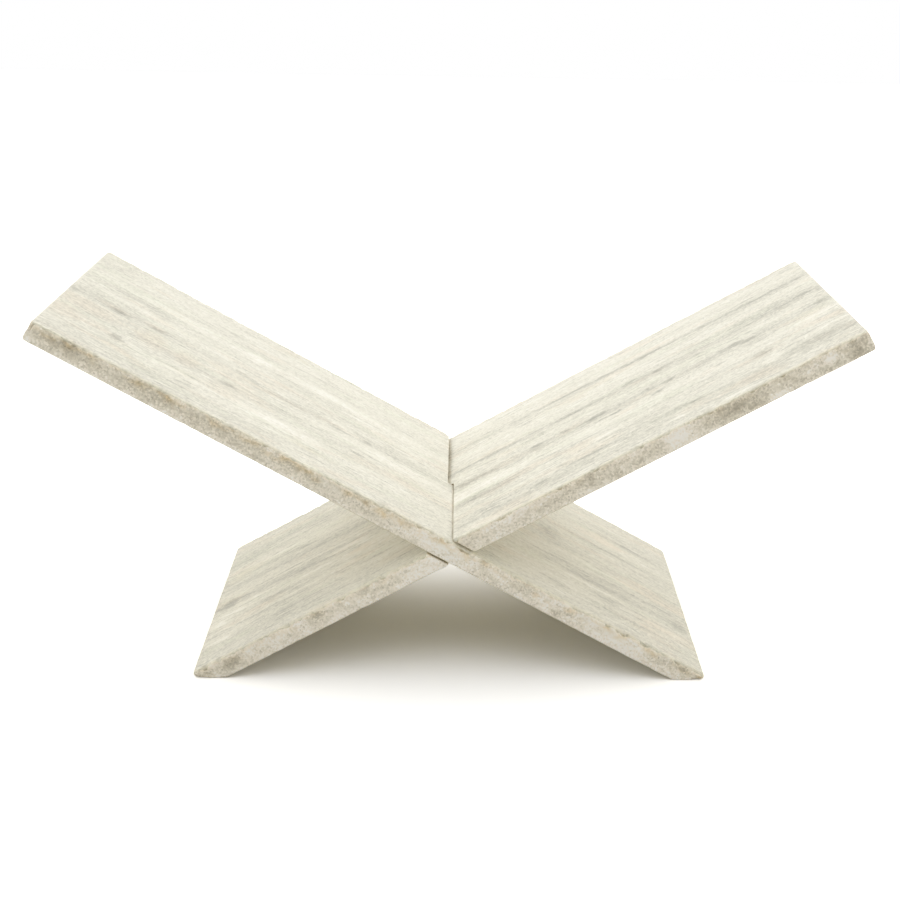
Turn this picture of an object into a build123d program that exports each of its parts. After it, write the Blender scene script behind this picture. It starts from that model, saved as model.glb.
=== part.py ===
from build123d import *
import math
import os

# An open-book stand of stone: two equal flat slabs cross in an X and lock together by slots.
# The frame has +X to the right, +Y to the back and +Z up, with its origin on the floor at
# the middle of the stand, straight below the line where the two upper faces cross.
# Lengths are in millimetres and angles in degrees.

# Slab
slab_length = 440.0  # along the upper face, from the raised end to where the foot would end in a point
slab_width = 200.0  # along Y
slab_thickness = 12.0

# Stance
lean = 29.0  # angle between a slab and the floor
crossing_height = 86.5  # floor to the line where the upper faces cross

# Foot
foot_tip_radius = 2.0  # blunts the thin tip that the level cut leaves
foot_heel_radius = 10.0  # eases the corner between the foot and the underside

# Eased edges
raised_end_radius = 1.8  # along the two edges of the raised end
arris_radius = 1.6  # along the front and back outlines
slot_arris = 0.3  # small bevel round the slot on both faces

# Slot
slot_clearance = 0.4  # between each slot wall and the slab that passes through
slot_end_gap = 2.0  # between the ends of the two slots, half of it in each slab
slot_corner_radius = 2.0  # left by the round cutter

cut_overrun = 5.0  # how far a cut runs past the slab

# Worked out from the values above
crossing = 2 * lean
lower_arm = crossing_height / math.sin(math.radians(lean))
upper_arm = slab_length - lower_arm
foot_run = slab_thickness / math.tan(math.radians(lean))
slot_height = slab_thickness + 2 * slot_clearance
slot_end = slot_end_gap / 2
slot_reach = (slab_thickness + slot_height) / math.sin(math.radians(crossing)) + cut_overrun

# Each slab is made lying flat: X runs up the slab from the crossing line, Z is square to it, and
# Z is zero on the upper face. The finished slab is then leaned and lifted into place.


# Side outline: a square raised end, and a foot cut at the lean so that it stands level
def side_outline():
    tip = (-lower_arm, 0)
    heel = (foot_run - lower_arm, -slab_thickness)
    end_under = (upper_arm, -slab_thickness)
    end_top = (upper_arm, 0)
    outline = make_face(Polyline(tip, heel, end_under, end_top, close=True))
    outline = fillet(outline.vertices().sort_by_distance((*tip, 0))[0], foot_tip_radius)
    outline = fillet(outline.vertices().sort_by_distance((*heel, 0))[0], foot_heel_radius)
    raised_corners = outline.vertices().group_by(Axis.X)[-1]
    return fillet(raised_corners, raised_end_radius)


# Flat slab with the edges of its front and back eased all round
def plain_slab():
    slab = extrude(Plane.XZ * side_outline(), slab_width / 2, both=True)
    by_depth = slab.faces().sort_by(Axis.Y)
    outline_edges = by_depth[0].edges() + by_depth[-1].edges()
    return fillet(outline_edges, arris_radius)


# What the slot takes out, open at the front. Its walls follow the faces of the slab that passes
# through, so they are cut on a bevel, and the round cutter leaves its inner corners curved.
def slot_cutter():
    run = slab_width / 2 + slot_end + cut_overrun
    cutter = Box(2 * slot_reach, run, slot_height, align=(Align.CENTER, Align.MAX, Align.MAX))
    inner_corners = cutter.faces().sort_by(Axis.Y)[-1].edges().filter_by(Axis.X)
    cutter = fillet(inner_corners, slot_corner_radius)
    return Rotation(0, crossing, 0) * Pos(0, slot_end, slot_clearance) * cutter


# Small bevels round the slot, where it breaks through the upper face and the underside: each
# cutter starts as the slot's section just inside the face and widens at 45 degrees on its way out
def slot_bevels(slot):
    bevels = []
    for level, outward in ((0, 1), (-slab_thickness, -1)):
        just_inside = Plane.XY.offset(level - outward * slot_arris)
        bevels.append(extrude(section(slot, just_inside), 2 * slot_arris, (0, 0, outward), taper=-45))
    return bevels


# One finished slab, leaning up to the right, with its slot open at the front
def slotted_slab():
    slot = slot_cutter()
    slab = plain_slab() - slot - slot_bevels(slot)
    return Pos(0, 0, crossing_height) * Rotation(0, -lean, 0) * slab


# The left slab is the same piece after half a turn: it rises to the left, and its slot is open
# at the back. The right slab slides in from the back until the two slots meet.
right_slab = slotted_slab()
left_slab = Rotation(0, 0, 180) * right_slab

os.makedirs("parts", exist_ok=True)
export_step(right_slab, "parts/right_slab.step")
export_step(left_slab, "parts/left_slab.step")
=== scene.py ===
import bpy
import math
import numpy as np
from mathutils import Matrix, Vector, kdtree, noise


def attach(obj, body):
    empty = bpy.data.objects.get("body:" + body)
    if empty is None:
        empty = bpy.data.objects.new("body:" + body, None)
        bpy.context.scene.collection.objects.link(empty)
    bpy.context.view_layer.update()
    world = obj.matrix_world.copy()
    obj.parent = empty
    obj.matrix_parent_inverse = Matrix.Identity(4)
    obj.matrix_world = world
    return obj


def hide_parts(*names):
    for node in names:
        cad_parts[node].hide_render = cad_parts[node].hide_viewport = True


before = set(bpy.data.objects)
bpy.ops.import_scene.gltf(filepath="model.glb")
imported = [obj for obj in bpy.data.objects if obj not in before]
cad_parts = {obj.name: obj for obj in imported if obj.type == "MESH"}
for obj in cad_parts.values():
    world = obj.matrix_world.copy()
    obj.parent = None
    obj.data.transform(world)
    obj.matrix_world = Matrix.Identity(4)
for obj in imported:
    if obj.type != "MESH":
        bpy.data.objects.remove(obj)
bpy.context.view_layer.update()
mm = 0.001

# Both slabs are the same piece of stone work. Lengths in mm, angles in degrees, as in the CAD source.
# "Along" runs up the slab from the crossing line, "across" runs front to back, and "depth" is zero on
# the upper face and negative below it.
slabForm = {
    "length": 440.0,
    "width": 200.0,
    "thickness": 12.0,
    "lean": 29.0,
    "crossingHeight": 86.5,
    "tipRound": 2.0,
    "heelRound": 10.0,
    "endRound": 2.0,
    "clearance": 0.4,
    "slotEnd": 1.0,            # how far the slot runs past the middle of the width
    "slotRound": 2.0,          # left by the round cutter
    "slotArris": 0.35,
    "slotFront": 2.4,          # the slot's mouth is eased like the long arrises
    "slotPlay": {"right_slab": (-0.8, 0.7), "left_slab": (0.0, 2.0)},  # how much further its walls stand open
    "topArris": 1.9,           # eased by hand, so the radius wanders
    "underArris": 1.2,
}

# Wear: depths and sizes in mm
slabWear = {
    "arrisWander": 0.7,        # share of the radius
    "arrisSizes": (7.0, 2.4),  # length of the slow and the quick wander
    "crumbDepth": 3.0,         # crumbs lost all along the upper arris
    "crumbSize": 3.2,
    "crumbReach": 1.5,         # how fast they get shallower away from the arris
    "backShare": 0.4,          # the back was dressed with more care, so it wanders and chips less
    "chipCount": 84,           # small chips knocked out of the long edges
    "chipRadius": (0.6, 2.1),
    "chipLength": (0.8, 2.6),
    "mouthChip": (2.2, 2.4),   # the corner at the slot's mouth is knocked round
    "slotSizes": (2.6, 9.0),   # length of the small and the large nibbles round the slot
    "endWander": 0.12,         # share of the radius
    "endSize": 9.0,
    "grainDepth": 0.16,        # rough grain of the sawn edges
    "grainSizes": (1.7, 0.9),
    "waveDepth": 0.03,         # slow waves of the honed faces
    "waveSize": 24.0,
}

# The mesh's lines get closer where the stone is rounded, cut or chipped: reach and spacing in mm
slabGrid = {
    "faces": 1.15,
    "foot": (9, 0.55),
    "crossing": ((-30, 0.8), (20, 1.0)),  # place along, not reach
    "mouth": 0.35,
    "slot": ((1, 0.5), 1.3),
    "raisedEnd": ((4, 0.8), (1.6, 0.32)),
    "across": 3.0,
    "longEdge": ((1.5, 0.3), (2.4, 0.45), (4.0, 0.8), (7.0, 1.5)),
    "slotEnd": (0.4, 1.0, 0.7, 1.3),      # spacing before it, further before, after it, further after
    "rim": ((0.35, 0.35), (1.4, 0.35), (2.6, 0.6)),
    "depth": 1.0,
    "outline": 0.2,
}

lean = math.radians(slabForm["lean"])
crossAngle = 2 * lean
lowerArm = slabForm["crossingHeight"] / math.sin(lean)
upperArm = slabForm["length"] - lowerArm
thick = slabForm["thickness"]
halfWidth = slabForm["width"] / 2
footShear = 1 / math.tan(lean)           # how far the level cut runs in for each mm of depth
slotShear = 1 / math.tan(crossAngle)
slotLow = -(thick + slabForm["clearance"]) / math.sin(crossAngle)
slotHigh = slabForm["clearance"] / math.sin(crossAngle)

# Side outline, with each corner's two neighbours and the name of its round
tip, heel = np.array((-lowerArm, 0)), np.array((footShear * thick - lowerArm, -thick))
endUnder, endTop = np.array((upperArm, -thick)), np.array((upperArm, 0))
outlineCorners = ((tip, heel, endTop, "tipRound"), (heel, endUnder, tip, "heelRound"),
                  (endUnder, endTop, heel, "endRound"), (endTop, tip, endUnder, "endRound"))


def gridLines(start, *runs):
    lines = [start]
    for end, step in runs:
        count = max(1, round(abs(end - lines[-1]) / step))
        lines += list(np.linspace(lines[-1], end, count + 1)[1:])
    return np.array(lines)


def stoneSurface(stone):
    # Outer quads of a block of cells, wound outwards, as rows of three lattice numbers for each corner
    padded = np.pad(stone, 1)
    quads, sides = [], []
    unit = np.eye(3, dtype=int)
    for axis in range(3):
        for step in (-1, 1):
            beyond = np.roll(padded, -step, axis)[1:-1, 1:-1, 1:-1]
            corner = np.argwhere(stone & ~beyond)
            if step == 1:
                corner = corner + unit[axis]
            b, c = unit[(axis + 1) % 3], unit[(axis + 2) % 3]
            ring = [corner, corner + b, corner + b + c, corner + c][::step]
            quads.append(np.stack(ring, 1))
            sides.append(np.full(len(corner), 2 * axis + (step > 0)))
    return np.concatenate(quads), np.concatenate(sides)


def easeCorner(u, w, radius):
    # u and w are depths below two faces that meet. Points nearer than the radius to both go onto the round.
    du, dw = radius - u, radius - w
    inside = (du > 0) & (dw > 0)
    reach = np.where(inside, np.maximum(du, dw) / np.maximum(np.hypot(du, dw), 1e-9), 1)
    return np.where(inside, radius - du * reach, u), np.where(inside, radius - dw * reach, w)


def roundOutline(along, depth, corner, sideA, sideB, radius):
    # Pulls the points near one corner of the side outline onto its arc
    sideA, sideB = sideA / np.linalg.norm(sideA), sideB / np.linalg.norm(sideB)
    half = math.acos(float(sideA @ sideB)) / 2
    bisector = (sideA + sideB) / np.linalg.norm(sideA + sideB)
    centreX = corner[0] + bisector[0] * radius / math.sin(half)
    centreZ = corner[1] + bisector[1] * radius / math.sin(half)
    normalA = (sideA * math.cos(2 * half) - sideB) / math.sin(2 * half)
    normalB = (sideB * math.cos(2 * half) - sideA) / math.sin(2 * half)
    x, z = along - centreX, depth - centreZ
    cross = normalA[0] * normalB[1] - normalA[1] * normalB[0]
    shareA = (x * normalB[1] - z * normalB[0]) / cross
    shareB = (normalA[0] * z - normalA[1] * x) / cross
    far = np.hypot(x, z)
    toSide = np.maximum(x * normalA[0] + z * normalA[1], x * normalB[0] + z * normalB[1])
    toSide = toSide / np.maximum(far, 1e-9)
    inside = (shareA > 0) & (shareB > 0) & (far > 1e-9)
    return np.where(inside, centreX + x * toSide, along), np.where(inside, centreZ + z * toSide, depth)


def roundCorners(x, z, shares):
    for corner, ahead, behind, kind in outlineCorners:
        x, z = roundOutline(x, z, corner, ahead - corner, behind - corner, slabForm[kind] * shares[kind])
    return x, z


def wander(points, size, seed):
    # Smooth noise from -1 to 1 at the given size in mm, along a line or through space
    shift = Vector((seed * 7.3, seed * 3.1, seed * 5.7))
    return np.array([noise.noise(Vector(p) / size + shift) for p in points])


def sideShape(along, across, depth):
    # Leans the grid over to the foot's cut and the slot's bevel, then rounds the outline's four corners
    bevelReach, squareFrom = 8, 90.0  # the bevel's lean holds this far round the slot, and is gone from here up
    places = (-lowerArm, slotLow - bevelReach, slotHigh + bevelReach, squareFrom)
    shear = np.interp(along, places, (footShear, slotShear, slotShear, 0))
    bumpy = [noise.noise(Vector((v / slabWear["endSize"], 0.3, 0.7))) for v in across]
    uneven = 1 + slabWear["endWander"] * np.array(bumpy)
    shares = {"tipRound": 0.7 + 0.3 * uneven, "heelRound": 1, "endRound": uneven}
    return roundCorners(along - shear * depth, depth, shares)


def slabLines(low, high):
    # The mesh's lines along, across and through the slab
    grid, bevel, mouth = slabGrid, slabForm["slotArris"], slabForm["slotFront"]
    (crossingStart, before), (crossingEnd, after) = grid["crossing"]
    (wallReach, wallStep), slotStep = grid["slot"]
    (endReach, endStep), (tailReach, tailStep) = grid["raisedEnd"]
    footReach, footStep = grid["foot"]
    along = gridLines(-lowerArm, (-lowerArm + footReach, footStep), (crossingStart, grid["faces"]),
                      (low - mouth, before), (low - bevel, grid["mouth"]), (low, bevel),
                      (low + wallReach, wallStep), (high - wallReach, slotStep), (high, wallStep),
                      (high + bevel, bevel), (high + mouth, grid["mouth"]), (crossingEnd, after),
                      (upperArm - endReach, grid["faces"]), (upperArm - tailReach, endStep), (upperArm, tailStep))
    nearEdge = gridLines(0.0, *grid["longEdge"])
    slotEnd, turn = slabForm["slotEnd"], slabForm["slotRound"]
    beforeEnd, earlier, afterEnd, later = grid["slotEnd"]
    middle = gridLines(-halfWidth + nearEdge[-1], (slotEnd - 3 * turn, grid["across"]), (slotEnd - turn, earlier),
                       (slotEnd, beforeEnd), (slotEnd + bevel, bevel), (slotEnd + turn, afterEnd),
                       (slotEnd + 3 * turn, later), (halfWidth - nearEdge[-1], grid["across"]))
    across = np.concatenate([nearEdge[:-1] - halfWidth, middle, halfWidth - nearEdge[-2::-1]])
    rim = gridLines(0.0, *grid["rim"])
    core = gridLines(-thick + rim[-1], (-rim[-1], grid["depth"]))[1:-1]
    return along, across, np.concatenate([-thick + rim, core, -rim[::-1]])


def easeSlot(s, y, n, low, high, seed):
    # The slot's edges are eased and nibbled, and its inner corners keep the cutter's round
    touch, slack, wallReach, endReach = 1e-6, 0.4, 6, 3
    bevel, slotEnd, turn = slabForm["slotArris"], slabForm["slotEnd"], slabForm["slotRound"]
    spots = np.stack([s, y, n], 1)
    small = np.maximum(wander(spots, slabWear["slotSizes"][0], seed + 1), -0.5)
    large = np.maximum(wander(spots, slabWear["slotSizes"][1], seed + 2), 0)
    nibble = bevel * (1 + 0.8 * small + 1.6 * large)
    for wall, outward in ((low, -1), (high, 1)):
        u = (s - wall) * outward
        near = (u >= -touch) & (u < wallReach) & (y <= slotEnd + touch)
        for face, inward in ((0.0, -1), (-thick, 1)):
            newU, newW = easeCorner(u, (n - face) * inward, nibble)
            s = np.where(near, wall + newU * outward, s)
            n = np.where(near, face + newW * inward, n)
            u = (s - wall) * outward
        newU, newW = easeCorner(u, y + halfWidth, slabForm["slotFront"] * (0.8 + 0.2 * nibble / bevel))
        s, y = np.where(near, wall + newU * outward, s), np.where(near, newW - halfWidth, y)
    u = y - slotEnd
    near = (u >= -touch) & (u < endReach) & (s >= low - touch) & (s <= high + touch)
    for face, inward in ((0.0, -1), (-thick, 1)):
        newU, newW = easeCorner(u, (n - face) * inward, bevel)
        y, n = np.where(near, slotEnd + newU, y), np.where(near, face + newW * inward, n)
        u = y - slotEnd
    for wall, inward in ((low, 1), (high, -1)):
        u, w = (s - wall) * inward, slotEnd - y
        onWall = (u >= -slack) & (w >= -slack) & (u < turn) & (w < turn)
        newU, newW = easeCorner(u, w, turn)
        s, y = np.where(onWall, wall + newU * inward, s), np.where(onWall, slotEnd - newW, y)
    return s, y, n


def wearArrises(x, y, z, high, front, seed):
    # Long arrises: a hand-eased round that wanders, with crumbs and chips
    rng = np.random.default_rng(seed)
    ring = (tip, endTop, endUnder, heel)
    runs = [(a, b, int(math.dist(a, b) / slabGrid["outline"])) for a, b in zip(ring, ring[1:] + ring[:1])]
    sharpX, sharpZ = (np.concatenate([np.linspace(a[i], b[i], count, endpoint=False) for a, b, count in runs])
                      for i in (0, 1))
    sharpX, sharpZ = roundCorners(sharpX, sharpZ, {"tipRound": 1, "heelRound": 1, "endRound": 1})
    tangent = np.stack([np.roll(sharp, -1) - np.roll(sharp, 1) for sharp in (sharpX, sharpZ)], 1)
    tangent /= np.maximum(np.linalg.norm(tangent, axis=1), 1e-9)[:, None]
    tree = kdtree.KDTree(len(sharpX))
    for i, (px, pz) in enumerate(zip(sharpX, sharpZ)):
        tree.insert((px, 0, pz), i)
    tree.balance()
    chips = [(rng.uniform(-lowerArm, upperArm), rng.choice((-1, 1)), rng.choice((0, 0, 1)),
              rng.uniform(*slabWear["chipRadius"]), rng.uniform(*slabWear["chipLength"]))
             for _ in range(slabWear["chipCount"])]
    chips.append((high + 0.6, -1, 0, *slabWear["mouthChip"]))
    slow, quick = slabWear["arrisSizes"]
    edgeReach, leastShare = 4.0, 0.4
    for i in np.nonzero(halfWidth - np.abs(y) < edgeReach)[0]:
        _, k, far = tree.find((x[i], 0, z[i]))
        if far > edgeReach:
            continue
        inX, inZ = tangent[k][1], -tangent[k][0]
        upper = z[i] > -thick / 2
        side = 1 if y[i] > 0 else -1
        line = Vector((x[i], side * 40.0, 0 if upper else 25.0))
        share = 1.0 if side == front and upper else slabWear["backShare"]
        sway = share * slabWear["arrisWander"] * (noise.noise(line / slow) + 0.9 * noise.noise(line / quick))
        radius = slabForm["topArris" if upper else "underArris"] * max(leastShare, 1 + sway)
        for where, chipSide, under, size, length in chips:
            if chipSide == side and bool(under) != upper and abs(x[i] - where) < 2.5 * length:
                radius += share * size * math.exp(-((x[i] - where) / length) ** 2)
        u = max(0.0, (x[i] - sharpX[k]) * inX + (z[i] - sharpZ[k]) * inZ)
        w = halfWidth - abs(y[i])
        newU, newW = easeCorner(np.array(u), np.array(w), radius)
        crumb = upper * share * slabWear["crumbDepth"] * max(0.0, noise.noise(line / slabWear["crumbSize"]) + 0.08)
        crumb *= math.exp(-(u + w) / slabWear["crumbReach"])
        newU, newW = newU + crumb, newW + crumb
        x[i] += inX * (float(newU) - u)
        z[i] += inZ * (float(newU) - u)
        y[i] = side * (halfWidth - float(newW))
    return x, y, z


def roughen(x, y, z, seed):
    # Rough grain on the sawn edges and slow waves on the honed faces, always into the stone
    points = np.stack([x, y, z], 1)
    coarse, fine = (wander(points, size, seed + i) for i, size in enumerate(slabWear["grainSizes"], 3))
    sawnReach, blend, honedFrom = 1.0, 0.6, 1.5  # mm from the edge
    sawn = np.clip((np.abs(y) - (halfWidth - sawnReach)) / blend, 0, 1)
    y = y - np.sign(y) * sawn * slabWear["grainDepth"] * np.clip(0.5 + 0.5 * coarse + 0.35 * fine, 0, 1.3)
    waves = slabWear["waveDepth"] * (0.5 + 0.5 * wander(points, slabWear["waveSize"], seed + 5))
    honed = halfWidth - np.abs(y) >= honedFrom
    z = np.where((z > -0.01) & honed, z - waves, z)
    z = np.where((z < -thick + 0.01) & honed, z + waves, z)
    return x, y, z


def slabMesh(name, play, front, seed):
    low, high = slotLow + play[0], slotHigh + play[1]
    along, across, depth = slabLines(low, high)
    stone = np.ones((len(along) - 1, len(across) - 1, len(depth) - 1), bool)
    midAlong, midAcross = (along[1:] + along[:-1]) / 2, (across[1:] + across[:-1]) / 2
    stone[np.ix_((midAlong > low) & (midAlong < high), midAcross < slabForm["slotEnd"])] = False
    quads, sides = stoneSurface(stone)
    flat = (quads[..., 0] * len(across) + quads[..., 1]) * len(depth) + quads[..., 2]
    used, faces = np.unique(flat, return_inverse=True)
    faces = faces.reshape(flat.shape)
    s = along[used // (len(across) * len(depth))]
    y = across[used // len(depth) % len(across)]
    n = depth[used % len(depth)]

    s, y, n = easeSlot(s, y, n, low, high, seed)
    x, z = sideShape(s, y, n)
    x, y, z = wearArrises(x, y, z, high, front, seed)
    x, y, z = roughen(x, y, z, seed)

    mesh = bpy.data.meshes.new(name)
    mesh.from_pydata((np.stack([x, y, z], 1) * mm).tolist(), [], faces.tolist())
    finish = np.select([sides == 5, sides == 4], [0, 2], 1)  # upper face, underside, all sawn sides
    mesh.polygons.foreach_set("material_index", finish.astype(np.int32))
    mesh.polygons.foreach_set("use_smooth", np.ones(len(faces), bool))
    mesh.validate()
    mesh.update()
    return mesh


def linearHex(code):
    channels = [int(code[i:i + 2], 16) / 255 for i in (0, 2, 4)]
    return tuple(c / 12.92 if c <= 0.04045 else ((c + 0.055) / 1.055) ** 2.4 for c in channels) + (1.0,)


def addNode(tree, kind, links=None, stops=None, **settings):
    node = tree.nodes.new("ShaderNode" + kind)
    for key, value in settings.items():
        setattr(node, key, value)
    for socket, value in (links or {}).items():
        if isinstance(value, bpy.types.NodeSocket):
            tree.links.new(value, node.inputs[socket])
        else:
            node.inputs[socket].default_value = value
    if stops:
        ramp = node.color_ramp
        for position, code in stops[2:]:
            ramp.elements.new(position)
        for element, (position, code) in zip(ramp.elements, sorted(stops)):
            element.position = position
            element.color = linearHex(code) if isinstance(code, str) else (code, code, code, 1.0)
    return node


# Marble is built up as a tone in sRGB levels, above or below the stone's own colour, which a ramp turns to
# colour. The stone is bedded lengthwise, so its clouds and veins are long: their first three numbers are
# sizes in mm along, across and through the slab, and the last is their levels.
honedMarble = {
    "clouds": ((230, 22, 40, 20), (60, 6.5, 14, 26), (10, 2.2, 5, 40), (2.6, 1.4, 1.4, 54)),
    "ramp": ((-70, "a19d8e"), (-30, "c7c3b1"), (0, "e9e5d4"), (14, "f3efdf"), (30, "fbf8ec")),
    "darkVein": (28, 2.0, 8, -24),
    "whiteVein": (22, 1.5, 7, 22),
    "hairlines": (90, 5.5, 12, -9),
    "crystal": 1.4,            # mm: real crystals are about 0.5 mm, drawn coarser to show
    "roughness": (0.40, 0.56),
    "ior": 1.5,                # calcite, averaged over its two indices
}
sawnMarble = {
    "clouds": ((42, 30, 11, 30), (14, 12, 6, 50), (4.6, 4.6, 3.4, 44)),
    "ramp": ((-70, "aaa18c"), (-25, "d3cab5"), (0, "ebe3cf"), (18, "faf1df"), (36, "fffaee")),
    "crystal": 1.0,
    "roughness": (0.62, 0.80),
    "ior": 1.5,
}
backMarble = {
    "clouds": ((210, 14, 30, 26), (75, 5.5, 12, 26), (20, 2.4, 6, 22), (2.2, 1.1, 1.1, 18)),
    "ramp": ((-60, "938a6d"), (-20, "aea586"), (0, "bfb593"), (12, "cac0a2"), (26, "d6ceb4")),
    "darkVein": (130, 4.6, 10, -22),
    "whiteVein": (60, 2.6, 8, 10),
    "crystal": 1.5,
    "roughness": (0.55, 0.70),
    "ior": 1.5,
}

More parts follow.
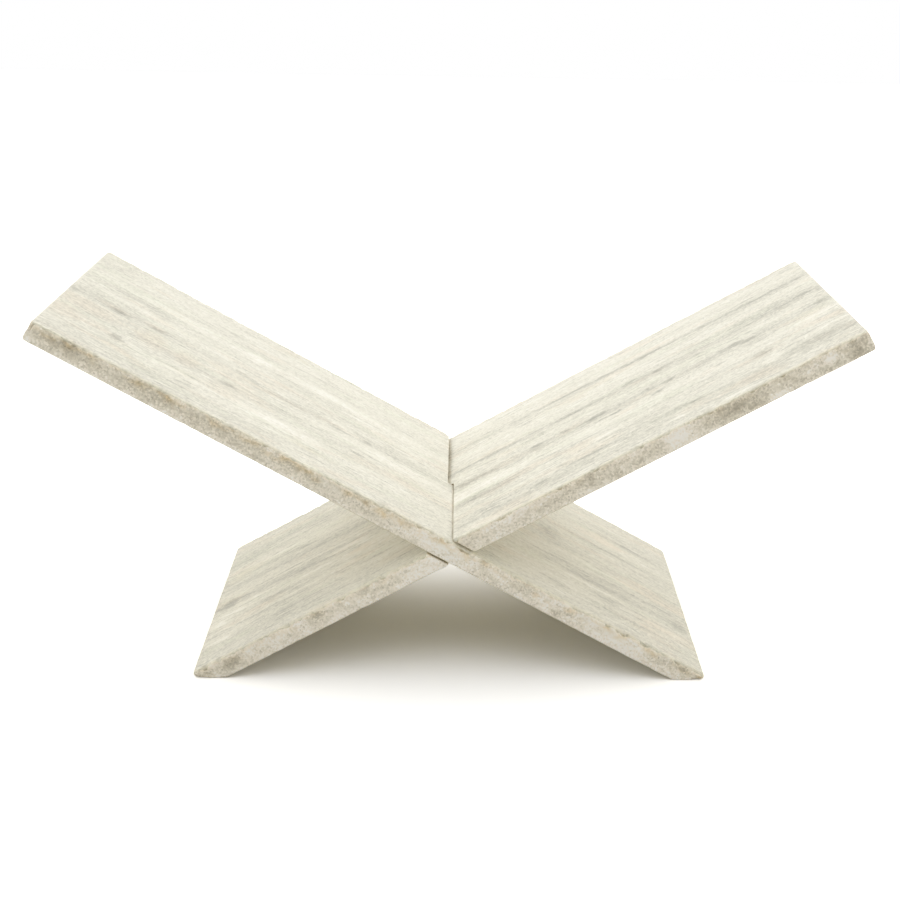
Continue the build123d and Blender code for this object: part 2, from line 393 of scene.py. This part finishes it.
# A few of these marks are painted light and shade, not the stone's own colour: each is noted where it stands.
# Veins, clouds and spots that stand out on the slabs: place along and across, half length,
# half width, levels. Those on the front edge have the depth in place of the place across, and the rosy
# ones an amount in place of the levels.
slabMarks = {
    "right_slab": {
        "seed": 3.7,
        "contrast": (0.86, 1.25),  # of the faces and of the edges
        "face": (
            # The second mark on the next line is painted light: it lightens the leg's inner front near the
            # crossing, which lies in the shade of the left slab's arm.
            (-130, 0, 130, 200, -4), (-40, -56, 56, 66, 12), (-120, 70, 80, 50, -4), (-155, -60, 30, 40, 6),
            (40, 86, 600, 20, 6), (60, 59.5, 600, 3, -8), (40, 41, 600, 15, 6), (60, 16.5, 600, 5, -9),
            (40, 3, 600, 6, 3), (60, -12.5, 600, 6.5, -9), (30, -30, 600, 10, 6), (0, -48, 120, 7, -8),
            (60, -71, 600, 6, -6), (60, -84, 600, 14, -8), (215, 52, 60, 7, -6), (230, 24, 50, 11, -5),
            (95, 61, 34, 1.4, -12), (148, 58.5, 30, 1.4, -14), (221, 57.5, 42, 2.2, -13),
            (129, 60.5, 4, 1.9, -18), (141, 56, 4, 1.9, -18), (186, 57.5, 4.5, 2.2, -14),
            (252, 57, 4.5, 2.2, -14), (130, 68, 110, 6, 8), (28, -60, 40, 7, -9), (130, -60, 26, 7, -9),
            (22, -93, 26, 7, 9), (28, 18.5, 24, 1.5, -14), (91, 17.5, 20, 1.5, -16),
            (128, 20.5, 4, 2.2, -16), (146, 16, 6, 2.4, -18), (172, 8, 4, 1.6, -16), (64, 9, 1.4, 4.2, -12),
            (232, 23, 32, 7, -6), (187, 22, 14, 4, 7), (61, -9, 3.8, 2.1, -24), (80, -9, 2.3, 2.2, -15),
            (101, -12, 6.5, 3.4, -24), (137, -10, 5.5, 3.4, -16), (149, -13, 3.5, 2.4, -19),
            (172, -16, 3.5, 1.7, -12), (195, -9, 6, 3.2, -28), (206, -14, 6.5, 3.2, -19),
            (255, -10, 6, 3.4, -16), (114, -22.5, 4.6, 1.8, -26), (143, -24, 4.5, 2.3, -26),
            # The second mark on the next line, at along -1.6, is painted shade: a dark line along the crossing, in
            # the gap where the left slab's slot edge lies over this face.
            (183, -31, 3, 2.4, -13), (-1.6, 52, 1.2, 46, -16), (14, -12, 20, 5, -14), (25, -29, 40, 10, 8),
            (6, -36, 10, 1.9, 11), (15, -46, 24, 5, -12), (100, -52, 20, 2.2, 15), (68, -51, 22, 2.4, 9),
            (105, -57.5, 28, 1.5, -10), (38, -62, 22, 1.5, 13), (65, -70, 16, 1.6, 14),
            (74, -66, 3, 1.5, -16), (59, -78, 6.5, 3, -20), (161, -71, 3, 1.8, -22),
            (150, -69, 14, 1.8, -13), (92, -72, 20, 1.8, -12), (248, -30, 16, 1.8, 13),
            (247, -57.5, 17, 1.8, 15), (210, -67, 9, 5, 14), (207, -50, 8, 5, -14), (240, -71, 26, 9, -11),
            (105, -78, 12, 1.8, 12), (148, -85, 11, 1.8, 15), (183, -94, 11, 2.2, 15),
            (232, -87, 10, 1.8, 13), (-127, 40, 30, 2.6, 12), (-128, 30, 24, 3.6, -11),
            (-112, 27, 3.5, 2.4, -14), (-161, -13, 6, 9, -22), (-155, -3, 10, 3.6, 12),
            (-105, -17, 15, 2.5, -12), (-74, -16, 22, 4, 24), (-62, -22, 12, 2, 18),
            (-96, -30, 14, 1.6, 18), (-138, -22, 16, 1.6, 16), (-84, -46, 18, 1.6, 16),
            (-67, -27, 5, 3, -16), (-152, -31, 14, 3, 20), (-163, -41, 10, 3.6, 17),
            (-121, -38, 22, 3.6, -12), (-50, -59, 26, 3.6, -16), (-112, -71, 12, 2.4, -12),
            (-158, -69, 10, 2, 15), (-100, -5, 60, 1.6, 12), (-95, 12, 70, 2.2, -12),
            (-120, 60, 50, 2.0, 12), (-90, -50, 50, 1.6, 12), (-130, -56, 40, 2.4, -12),
            (-70, 32, 40, 1.8, 10)),
        "edge": (
            # The first mark on the next line is painted light: it lightens the whole leg's front edge, which gets
            # less light than the arm's.
            (-110, -6, 100, 40, 8), (-150, -5, 11, 5, -26), (-90, -3, 9, 3, -20), (-16, -7, 28, 9, 14),
            (-168, -4, 9, 5, -18), (48, -3, 26, 4.5, 16), (240, -9, 22, 4, -14), (87, -4, 3.5, 5, -18),
            (142, -6, 12, 8, 26), (178, -6, 24, 5, -20), (201, -10, 8, 3, 22), (237, -4, 9, 6, 18),
            (253, -6, 9, 8, -20)),
        "rosy": (),
        "ochre": 0.2,  # how strong the iron stains on the edges are
    },
    "left_slab": {
        "seed": 9.1,
        "contrast": (0.72, 1.12),
        "face": (
            (-130, 0, 130, 200, -2), (-50, 60, 60, 60, 8), (-150, -60, 40, 40, -4), (40, -40, 600, 10, 6),
            (40, -72, 600, 34, 4), (110, 4, 600, 9, -4), (225, 6, 70, 10, -4), (30, 20, 80, 8, 7),
            (170, 36, 90, 11, -7), (90, 59, 110, 9, 4), (60, 88, 600, 16, -5), (245, 20, 60, 90, -4),
            (35, -22, 50, 16, 7), (248, -78, 24, 20, -7), (91, -67, 24, 1.8, -10), (165, -67, 14, 1.8, -13),
            (92, -43, 34, 6, 8), (145, -43, 20, 7, 11), (200, -42, 30, 6, 6), (225, -34, 40, 7, -9),
            (210, -16, 60, 5, 8), (64, -29, 17, 1.5, 10), (80, 1.5, 13, 3, 11), (62, 8, 3.6, 2.9, -15),
            (81, 9.5, 8, 2.5, -14), (121, 2.5, 15, 1.5, 10), (110, 9.5, 17, 1.8, -9), (139, 6, 6, 3.4, -14),
            (229, 9.5, 6.5, 4.6, -20), (204, 5, 7, 4.6, -13), (260, 10, 9, 6, -9), (151, 34, 4, 4, -18),
            (121, 30, 19, 2.5, -8), (120, 57, 32, 9, 11), (180, 55, 34, 1.5, -11), (185, 59, 34, 2.4, 9),
            (219, 55, 4, 5.4, -24), (66, 37, 3, 2.4, -11), (175, 72, 6, 3.6, -12), (5, 50, 10, 3.6, -10),
            (80, 86, 55, 14, 4), (40, 22, 40, 7, 5), (-120, -47, 50, 7, 9), (-112, -70, 34, 3.6, -7),
            (-73, -10, 8, 14, -13), (-110, 15, 56, 2.2, 9), (-96, 12, 12, 2.4, 8), (-138, 17, 7, 2, -10),
            (-104, 41, 66, 6, -13), (-158, 30, 22, 40, -4), (-163, 40, 8, 9, -15), (-155, 60, 17, 3.6, 11),
            (-108, 60, 10, 9, -12), (-71, 75, 10, 7, -10), (-115, -30, 60, 2.2, -13),
            (-100, -5, 50, 1.8, 10), (-130, 28, 40, 2.2, -13), (-85, 32, 50, 1.6, -11),
            (-140, -58, 36, 2.4, -12), (-120, 75, 60, 2.4, -12), (-95, 50, 40, 1.8, 12)),
        "edge": (
            # The first mark on the next line is painted light: it lightens the whole leg's front edge, which gets
            # less light than the arm's.
            (-110, -6, 110, 40, 10), (-158, -3, 10, 4, -18), (-130, -8, 9, 4, 14), (-104, -5, 8, 3, -17),
            (-74, -9, 4, 4, -16), (-52, -4, 12, 4, -14), (8, -6, 32, 9, 20), (90, -3.5, 40, 2.4, -6),
            (140, -5, 30, 5, -12), (178, -6, 26, 5, -12), (240, -5, 26, 5, -16), (36, -3, 14, 4, 12),
            (-108, -4, 24, 5, 14)),
        "rosy": (
            (181, 30, 9, 15, 1.5), (203, 28, 12, 18, 1.5), (206, 3, 8, 6, 1.2), (232, 6, 14, 5, 1.0),
            (246, 28, 26, 14, 1.8), (254, 54, 14, 16, 1.8)),
        "ochre": 0.8,
    },
}


def slabSpace(tree, turned):
    # The slab's own millimetres: along, across and depth
    where = addNode(tree, "TexCoord").outputs["Object"]
    return addNode(tree, "Mapping", {"Vector": where, "Location": (0, 0, slabForm["crossingHeight"] * mm),
                                     "Rotation": (0, -lean, math.pi * turned), "Scale": (mm, mm, mm)},
                   vector_type="TEXTURE").outputs[0]


def cloud(tree, spot, size, seed, detail=2.5):
    # Noise whose clouds have the given size in mm
    scaled = addNode(tree, "VectorMath", {0: spot, 1: [1 / v for v in size], 2: (seed, seed * 2.3, seed * 0.7)},
                     operation="MULTIPLY_ADD")
    return addNode(tree, "TexNoise", {"Vector": scaled.outputs[0], "Scale": 1.0, "Detail": detail,
                                      "Roughness": 0.55}).outputs


def patches(tree, spot, size, low, high, seed, most=1.0):
    # Rises from 0 to the most where the clouds go from the low level to the high one
    return addNode(tree, "MapRange", {"Value": cloud(tree, spot, size, seed)["Fac"], "From Min": low,
                                      "From Max": high, "To Max": most}).outputs[0]


def bend(tree, spot, size, reach, seed):
    # Pushes the pattern about by up to the reach in mm
    push = addNode(tree, "VectorMath", {0: cloud(tree, spot, (size, size, size), seed, 1.0)["Color"],
                                        1: [2 * v for v in reach], 2: [-v for v in reach]},
                   operation="MULTIPLY_ADD")
    return addNode(tree, "VectorMath", {0: spot, 1: push.outputs[0]}, operation="ADD").outputs[0]


def bedding(tree, spot, recipe, contrast, seed):
    # Long clouds of the stone's bedding, and thin veins where another noise goes over a level
    wavy = bend(tree, bend(tree, spot, 60, (10, 5, 3), seed + 1), 14, (3, 1.6, 1), seed + 2)
    veinLow, veinHigh = 0.60, 0.68
    tone = -sum(c[3] for c in recipe["clouds"]) * contrast / 2
    for i, (*size, levels) in enumerate(recipe["clouds"]):
        patch = cloud(tree, wavy, size, seed + 3 + i)["Fac"]
        tone = addNode(tree, "Math", {0: patch, 1: levels * contrast, 2: tone}, operation="MULTIPLY_ADD").outputs[0]
    for i, vein in enumerate(v for v in ("darkVein", "whiteVein") if v in recipe):
        *size, levels = recipe[vein]
        ridge = cloud(tree, wavy, size, seed + 11 + i)["Fac"]
        streak = addNode(tree, "MapRange", {"Value": ridge, "From Min": veinLow, "From Max": veinHigh,
                                            "To Max": levels}, interpolation_type="SMOOTHSTEP")
        tone = addNode(tree, "Math", {0: streak.outputs[0], 1: tone}, operation="ADD").outputs[0]
    if "hairlines" in recipe:  # thin dark lines between two beds
        *size, levels = recipe["hairlines"]
        beds = cloud(tree, wavy, size, seed + 17)["Fac"]
        offset = addNode(tree, "Math", {0: beds, 1: 0.5}, operation="SUBTRACT").outputs[0]
        apart = addNode(tree, "Math", {0: offset}, operation="ABSOLUTE").outputs[0]
        line = addNode(tree, "MapRange", {"Value": apart, "From Max": 0.05, "To Min": levels * contrast,
                                          "To Max": 0.0})
        tone = addNode(tree, "Math", {0: line.outputs[0], 1: tone}, operation="ADD").outputs[0]
    return tone


def addMarks(tree, spot, marks, tone, strength, seed):
    # Placed veins and spots, and a few patches of painted light and shade, each a soft ellipse that the noise bends
    # and mottles
    if not marks:
        return tone
    bent = bend(tree, bend(tree, spot, 15, (4, 1.6, 1.0), seed), 3.5, (1.6, 0.8, 0.8), seed + 1)
    drawn = 0.0
    for place, reach, levels in marks:
        at = addNode(tree, "Mapping", {"Vector": bent, "Location": place, "Scale": reach}, vector_type="TEXTURE")
        fade = addNode(tree, "TexGradient", {"Vector": at.outputs[0]}, gradient_type="SPHERICAL")
        drawn = addNode(tree, "Math", {0: fade.outputs["Fac"], 1: levels * strength, 2: drawn},
                        operation="MULTIPLY_ADD").outputs[0]
    mottle = addNode(tree, "MapRange", {"Value": cloud(tree, bent, (6, 1.8, 2), seed + 2)["Fac"],
                                        "From Min": 0.3, "From Max": 0.7, "To Min": 0.6, "To Max": 1.4})
    return addNode(tree, "Math", {0: drawn, 1: mottle.outputs[0], 2: tone}, operation="MULTIPLY_ADD").outputs[0]


def faceMarks(marks):
    # A mark on a face goes right through the slab, and bending narrows it, so it is drawn a little larger
    return [((along, across, 0), (reach + 2, width + 1, 40), levels)
            for along, across, reach, width, levels in marks]


def toneColour(tree, tone, recipe):
    low, high = recipe["ramp"][0][0], recipe["ramp"][-1][0]
    share = addNode(tree, "MapRange", {"Value": tone, "From Min": low, "From Max": high})
    stops = [((level - low) / (high - low), code) for level, code in recipe["ramp"]]
    return addNode(tree, "ValToRGB", {"Fac": share.outputs[0]}, stops=stops).outputs["Color"]


def tinted(tree, colour, code, amount):
    # Multiplies by a pale colour where the amount is high
    return addNode(tree, "Mix", {0: amount, 6: colour, 7: linearHex(code)}, data_type="RGBA",
                   blend_type="MULTIPLY").outputs[2]


def crystals(tree, spot, size, seed):
    # Random brightness for each crystal, and the distance from its middle
    loose = bend(tree, spot, size * 1.5, (size * 0.4,) * 3, seed)
    scaled = addNode(tree, "VectorMath", {0: loose, 1: (1 / size,) * 3}, operation="MULTIPLY")
    return addNode(tree, "TexVoronoi", {"Vector": scaled.outputs[0], "Scale": 1.0}).outputs


def grainyTone(tree, spot, tone, recipe, levels, seed):
    # Each crystal is a little lighter or darker, by up to half the levels
    grain = crystals(tree, spot, recipe["crystal"], seed)["Color"]
    sugar = addNode(tree, "Math", {0: grain, 1: levels, 2: -levels / 2}, operation="MULTIPLY_ADD")
    return grain, addNode(tree, "Math", {0: sugar.outputs[0], 1: tone}, operation="ADD").outputs[0]


def pitting(tree, spot, wear, seed):
    # -1 at the bottom of a pit, 0 between the pits
    size, bottom, rim = wear["pits"]
    holes = crystals(tree, spot, size, seed)["Distance"]
    return addNode(tree, "MapRange", {"Value": holes, "From Min": bottom, "From Max": rim, "To Min": -1.0,
                                      "To Max": 0.0}).outputs[0]


def stoneShader(tree, recipe, wear, colour, rough, height):
    bump = addNode(tree, "Bump", {"Strength": wear["bumpStrength"], "Distance": wear["bumpDepth"] * mm,
                                  "Height": height})
    shader = tree.nodes["Principled BSDF"]
    shader.inputs["IOR"].default_value = recipe["ior"]
    for socket, source in (("Base Color", colour), ("Roughness", rough), ("Normal", bump.outputs[0])):
        tree.links.new(source, shader.inputs[socket])


honedWear = {
    "marks": 1.9,              # a mark fades towards its rim, so it is drawn this much stronger
    "sugar": 28.0,             # levels between the darkest and the palest crystal
    "bays": ((4, 3, 3), 6.0),  # ragged inner border of the worn arris: size and reach, mm
    "rim": (-1.5, 2.5, 3.0),   # start and end from the slab's edge in mm, levels
    "nicks": (3.0, 4.0, -20.0),
    "rosy": ((50, 16, 20), 0.54, 0.70),
    "mossy": ((60, 12, 20), 0.52, 0.72),
    "pits": (4.2, 0.06, 0.16),  # mm between them, bottom and rim as shares of that
    "swell": (3.0, 1.6, 2.0),
    "bumpStrength": 0.35,
    "bumpDepth": 0.12,
}


def honedFace(name, turned, recipe, marks, rosyMarks, contrast, seed):
    # Marble ground flat with fine grit and left unpolished: pale, softly veined, with a dull even sheen
    material = bpy.data.materials.new(name)
    material.use_nodes = True
    tree = material.node_tree
    wear = honedWear
    spot = slabSpace(tree, turned)
    tone = bedding(tree, spot, recipe, contrast, seed)
    tone = addMarks(tree, spot, faceMarks(marks), tone, wear["marks"], seed + 20)
    grain, tone = grainyTone(tree, spot, tone, recipe, wear["sugar"], seed + 30)

    # Worn arrises along the front and back: a little lighter and warmer, with small dark nicks at the very edge
    across = addNode(tree, "SeparateXYZ", {0: spot}).outputs[1]
    fromMiddle = addNode(tree, "Math", {0: across}, operation="ABSOLUTE").outputs[0]
    baySize, bayReach = wear["bays"]
    bays = cloud(tree, spot, baySize, seed + 5)["Fac"]
    frayed = addNode(tree, "Math", {0: bays, 1: bayReach, 2: fromMiddle}, operation="MULTIPLY_ADD").outputs[0]
    start, end, levels = wear["rim"]
    rim = addNode(tree, "MapRange", {"Value": frayed, "From Min": halfWidth + start, "From Max": halfWidth + end},
                  interpolation_type="SMOOTHSTEP").outputs[0]
    tone = addNode(tree, "Math", {0: rim, 1: levels, 2: tone}, operation="MULTIPLY_ADD").outputs[0]
    start, end, levels = wear["nicks"]
    nicks = addNode(tree, "MapRange", {"Value": frayed, "From Min": halfWidth + start,
                                       "From Max": halfWidth + end, "To Max": levels}).outputs[0]
    tone = addNode(tree, "Math", {0: nicks, 1: tone}, operation="ADD").outputs[0]

    # Iron in the beds turns them a little pink, other minerals a little green
    rosy = addMarks(tree, spot, faceMarks(rosyMarks), patches(tree, spot, *wear["rosy"], seed + 6), 1.0, seed + 40)
    mossy = patches(tree, spot, *wear["mossy"], seed + 7)
    colour = toneColour(tree, tone, recipe)
    for code, amount in (("fffbf8", rosy), ("fbfdfa", mossy), ("fffdf6", rim)):
        colour = tinted(tree, colour, code, amount)

    dull, dullest = recipe["roughness"]  # grey beds take a finer finish than white ones
    rough = addNode(tree, "MapRange", {"Value": tone, "From Min": -25, "From Max": 18, "To Min": dull,
                                       "To Max": dullest}).outputs[0]
    swell = cloud(tree, spot, wear["swell"], seed + 8, 3.0)["Fac"]
    pits = pitting(tree, spot, wear, seed + 31)
    height = addNode(tree, "Math", {0: pits, 1: swell}, operation="ADD").outputs[0]
    stoneShader(tree, recipe, wear, colour, rough, height)
    return material


sawnWear = {
    "marks": 2.1,
    "salt": 56.0,              # levels between the darkest and the palest crystal
    "pits": (2.2, 0.10, 0.26),  # mm between them, bottom and rim as shares of that
    "pitLevels": 9.0,
    "pitDepth": 0.7,           # share of the bump
    "bays": ((5, 5, 5), 7.0),  # ragged borders of the rims and stains: size and reach, mm
    # The two rims are lighter partly from wear and partly as a painted highlight on the arrises.
    "topRimWearAndHighlight": (1.2, 2.8, 7.0),  # start and end in mm from the upper face, levels
    "lowRimWearAndHighlight": (4.1, 5.9, 10.0),  # the same from the underside
    "stained": (-3.5, 1.0),    # where the iron shows, mm from the upper face
    "stain": ((11, 11, 6), 0.44, 0.68),
    "cool": ((26, 20, 10), 0.52, 0.70),
    "coolMost": 0.45,
    "swell": (1.5, 1.5, 1.5),
    "bumpStrength": 0.6,
    "bumpDepth": 0.4,
}


def sawnEdge(name, turned, recipe, marks, contrast, ochre, seed):
    # Marble sawn and rubbed but not honed: open sugary crystals, pits, iron stains under the arris, pale rims that
    # are partly worn and partly a painted highlight
    material = bpy.data.materials.new(name)
    material.use_nodes = True
    tree = material.node_tree
    wear = sawnWear
    spot = slabSpace(tree, turned)
    tone = bedding(tree, spot, recipe, contrast, seed)
    front = halfWidth if turned else -halfWidth
    placed = [((along, front, depth), (reach, 30, width), levels) for along, depth, reach, width, levels in marks]
    tone = addMarks(tree, spot, placed, tone, wear["marks"], seed + 20)
    grain, tone = grainyTone(tree, spot, tone, recipe, wear["salt"], seed + 30)
    pits = pitting(tree, spot, wear, seed + 31)
    tone = addNode(tree, "Math", {0: pits, 1: wear["pitLevels"], 2: tone}, operation="MULTIPLY_ADD").outputs[0]

    # Rims, partly worn and partly a painted highlight: the top arris is pale and warm, the lower one a thin light
    # line
    depth = addNode(tree, "SeparateXYZ", {0: spot}).outputs[2]
    baySize, bayReach = wear["bays"]
    bays = cloud(tree, spot, baySize, seed + 5, 3.0)["Fac"]
    frayed = addNode(tree, "Math", {0: bays, 1: bayReach, 2: depth}, operation="MULTIPLY_ADD").outputs[0]
    start, end, topLevels = wear["topRimWearAndHighlight"]
    topRimWearAndHighlight = addNode(tree, "MapRange", {"Value": frayed, "From Min": start, "From Max": end},
                     interpolation_type="SMOOTHSTEP").outputs[0]
    start, end, lowLevels = wear["lowRimWearAndHighlight"]
    lowRimWearAndHighlight = addNode(tree, "MapRange", {"Value": frayed, "From Min": start - thick, "From Max": end - thick,
                                        "To Min": 1.0, "To Max": 0.0}, interpolation_type="SMOOTHSTEP").outputs[0]
    for rim, levels in ((topRimWearAndHighlight, topLevels), (lowRimWearAndHighlight, lowLevels)):
        tone = addNode(tree, "Math", {0: rim, 1: levels, 2: tone}, operation="MULTIPLY_ADD").outputs[0]

    # Iron stains, strongest a few mm under the top arris, and cooler grey clouds
    start, end = wear["stained"]
    under = addNode(tree, "MapRange", {"Value": frayed, "From Min": start, "From Max": end},
                    interpolation_type="SMOOTHSTEP").outputs[0]
    bare = addNode(tree, "Math", {0: under, 1: topRimWearAndHighlight}, operation="SUBTRACT").outputs[0]
    stain = patches(tree, spot, *wear["stain"], seed + 6, ochre)
    iron = addNode(tree, "Math", {0: bare, 1: stain}, operation="MULTIPLY", use_clamp=True).outputs[0]
    cool = patches(tree, spot, *wear["cool"], seed + 7, wear["coolMost"])
    colour = toneColour(tree, tone, recipe)
    for code, amount in (("ebdcbc", iron), ("f4f6f7", cool), ("fffdf7", topRimWearAndHighlight)):
        colour = tinted(tree, colour, code, amount)

    dull, dullest = recipe["roughness"]
    rough = addNode(tree, "MapRange", {"Value": grain, "To Min": dullest, "To Max": dull}).outputs[0]
    swell = cloud(tree, spot, wear["swell"], seed + 8, 3.0)["Fac"]
    height = addNode(tree, "Math", {0: pits, 1: wear["pitDepth"], 2: swell}, operation="MULTIPLY_ADD").outputs[0]
    stoneShader(tree, recipe, wear, colour, rough, height)
    return material


placeRight = Matrix.Translation((0, 0, slabForm["crossingHeight"] * mm)) @ Matrix.Rotation(-lean, 4, "Y")
placeLeft = Matrix.Rotation(math.pi, 4, "Z") @ placeRight

for body, place, turned, seed in (("right_slab", placeRight, 0, 11), ("left_slab", placeLeft, 1, 29)):
    marks = slabMarks[body]
    side = body.split("_")[0]
    faceContrast, edgeContrast = marks["contrast"]
    stone = slabMesh(body + "Stone", slabForm["slotPlay"][body], 1 if turned else -1, seed)
    piece = bpy.data.objects.new(body + "_stone", stone)
    bpy.context.scene.collection.objects.link(piece)
    stone.transform(place)  # the mesh itself is put in place, so its box is exact
    for material in (
        honedFace("honedMarbleFace." + side, turned, honedMarble, marks["face"], marks["rosy"], faceContrast,
                  marks["seed"]),
        sawnEdge("sawnMarbleEdge." + side, turned, sawnMarble, marks["edge"], edgeContrast, marks["ochre"],
                 marks["seed"] + 0.37),
        honedFace("groundMarbleUnderside." + side, turned, backMarble, (), (), 1.0, marks["seed"] + 50),
    ):
        stone.materials.append(material)
    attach(piece, body)
    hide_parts(body)
    print("stone:", body, "has", len(stone.polygons), "faces")

# The stand is on a sheet of pale paper that runs out of sight, so the floor is white but keeps its shadow
stage = {
    "size": 8.0,               # m
    "paper": "ebebe8",         # what the paper throws back onto the stand
    "exposure": 1.47,          # the paper is shown this much brighter, as a white sweep is lit in a studio
}


def directlySeen(tree):
    path = addNode(tree, "LightPath").outputs
    seen = addNode(tree, "Math", {0: path["Is Camera Ray"], 1: path["Is Glossy Ray"]}, operation="MAXIMUM")
    return addNode(tree, "Math", {0: seen.outputs[0], 1: path["Is Transmission Ray"]},
                   operation="MAXIMUM").outputs[0]


def paperMaterial():
    # Matte background paper. Cameras and gloss see it white, and its bounce light stays at its own colour.
    material = bpy.data.materials.new("matteBackgroundPaper")
    material.use_nodes = True
    tree = material.node_tree
    tree.nodes.clear()
    shown = addNode(tree, "BsdfDiffuse", {"Color": (stage["exposure"],) * 3 + (1.0,)})
    bounce = addNode(tree, "BsdfDiffuse", {"Color": linearHex(stage["paper"])})
    both = addNode(tree, "MixShader", {0: directlySeen(tree), 1: bounce.outputs[0], 2: shown.outputs[0]})
    addNode(tree, "OutputMaterial", {"Surface": both.outputs[0]})
    return material


half = stage["size"] / 2
floorMesh = bpy.data.meshes.new("paperSweep")
floorMesh.from_pydata([(-half, -half, 0), (half, -half, 0), (half, half, 0), (-half, half, 0)], [], [(0, 1, 2, 3)])
floorMesh.materials.append(paperMaterial())
floor = bpy.data.objects.new("paperSweep", floorMesh)
bpy.context.scene.collection.objects.link(floor)
print("floor: paper sweep ready")

# The light is a ring of far soft boxes: brightness at four heights above the floor, on each side of the stand
studio = {
    "heights": (10, 33, 57, 80),  # degrees
    "front": (0.05, 0.05, 1.7, 0.93),
    "sides": (0.64, 2.2, 0.05, 0.93),
    "back": (0.46, 2.7, 0.92, 0.93),
    "brightest": 4.0,          # a ramp holds shares of this
}


def studioWorld():
    world = bpy.data.worlds.new("softStudio")
    world.use_nodes = True
    tree = world.node_tree
    tree.nodes.clear()
    x, y, z = addNode(tree, "SeparateXYZ", {0: addNode(tree, "TexCoord").outputs["Generated"]}).outputs
    flat = addNode(tree, "CombineXYZ", {0: x, 1: y}).outputs[0]
    direction = addNode(tree, "VectorMath", {0: flat}, operation="NORMALIZE").outputs[0]
    x, y, _ = addNode(tree, "SeparateXYZ", {0: direction}).outputs
    back = addNode(tree, "Math", {0: y, 1: 0.0}, operation="MAXIMUM").outputs[0]
    front = addNode(tree, "Math", {0: y, 1: 0.0}, operation="MINIMUM").outputs[0]
    glow = 0.0
    for wall, facing in (("front", front), ("sides", x), ("back", back)):
        stops = [(math.sin(math.radians(height)), bright / studio["brightest"])
                 for height, bright in zip(studio["heights"], studio[wall])]
        bright = addNode(tree, "ValToRGB", {"Fac": z}, stops=stops, name=wall).outputs["Color"]
        share = addNode(tree, "Math", {0: facing, 1: facing}, operation="MULTIPLY").outputs[0]
        glow = addNode(tree, "Math", {0: bright, 1: share, 2: glow}, operation="MULTIPLY_ADD").outputs[0]
    glow = addNode(tree, "Math", {0: glow, 1: studio["brightest"]}, operation="MULTIPLY").outputs[0]
    light = addNode(tree, "Background", {"Strength": glow, "Color": (1, 1, 1, 1)})
    backdrop = addNode(tree, "Background", {"Strength": 1.0, "Color": (1, 1, 1, 1)})
    both = addNode(tree, "MixShader", {0: directlySeen(tree), 1: light.outputs[0], 2: backdrop.outputs[0]})
    addNode(tree, "OutputWorld", {"Surface": both.outputs[0]})
    return world


bpy.context.scene.world = studioWorld()
print("light: soft studio ready")

# The photograph's viewpoint: turned a little, looking down, with the frame cropped to one side
viewpoint = {
    "place": (1.4, -939.2, 416.2),  # mm
    "turn": 1.91,              # degrees
    "down": 18.07,
    "roll": 1.13,
    "lens": 63.02,             # mm
    "shift": -0.0603,
    "clip": (0.05, 50),        # m
}
turn, down, roll = (math.radians(viewpoint[angle]) for angle in ("turn", "down", "roll"))
ahead = Vector((math.sin(turn) * math.cos(down), math.cos(turn) * math.cos(down), -math.sin(down)))
level = Vector((math.cos(turn), -math.sin(turn), 0))
above = level.cross(ahead)
right = math.cos(roll) * level + math.sin(roll) * above
up = -math.sin(roll) * level + math.cos(roll) * above
camera = bpy.data.objects.new("camera", bpy.data.cameras.new("camera"))
bpy.context.scene.collection.objects.link(camera)
aim = Matrix((right, up, -ahead)).transposed().to_4x4()
camera.matrix_world = Matrix.Translation(Vector(viewpoint["place"]) * mm) @ aim
camera.data.lens, camera.data.shift_x = viewpoint["lens"], viewpoint["shift"]
camera.data.clip_start, camera.data.clip_end = viewpoint["clip"]
bpy.context.scene.camera = camera
bpy.context.scene.view_settings.view_transform = "Standard"
print("camera: at the photograph's viewpoint")
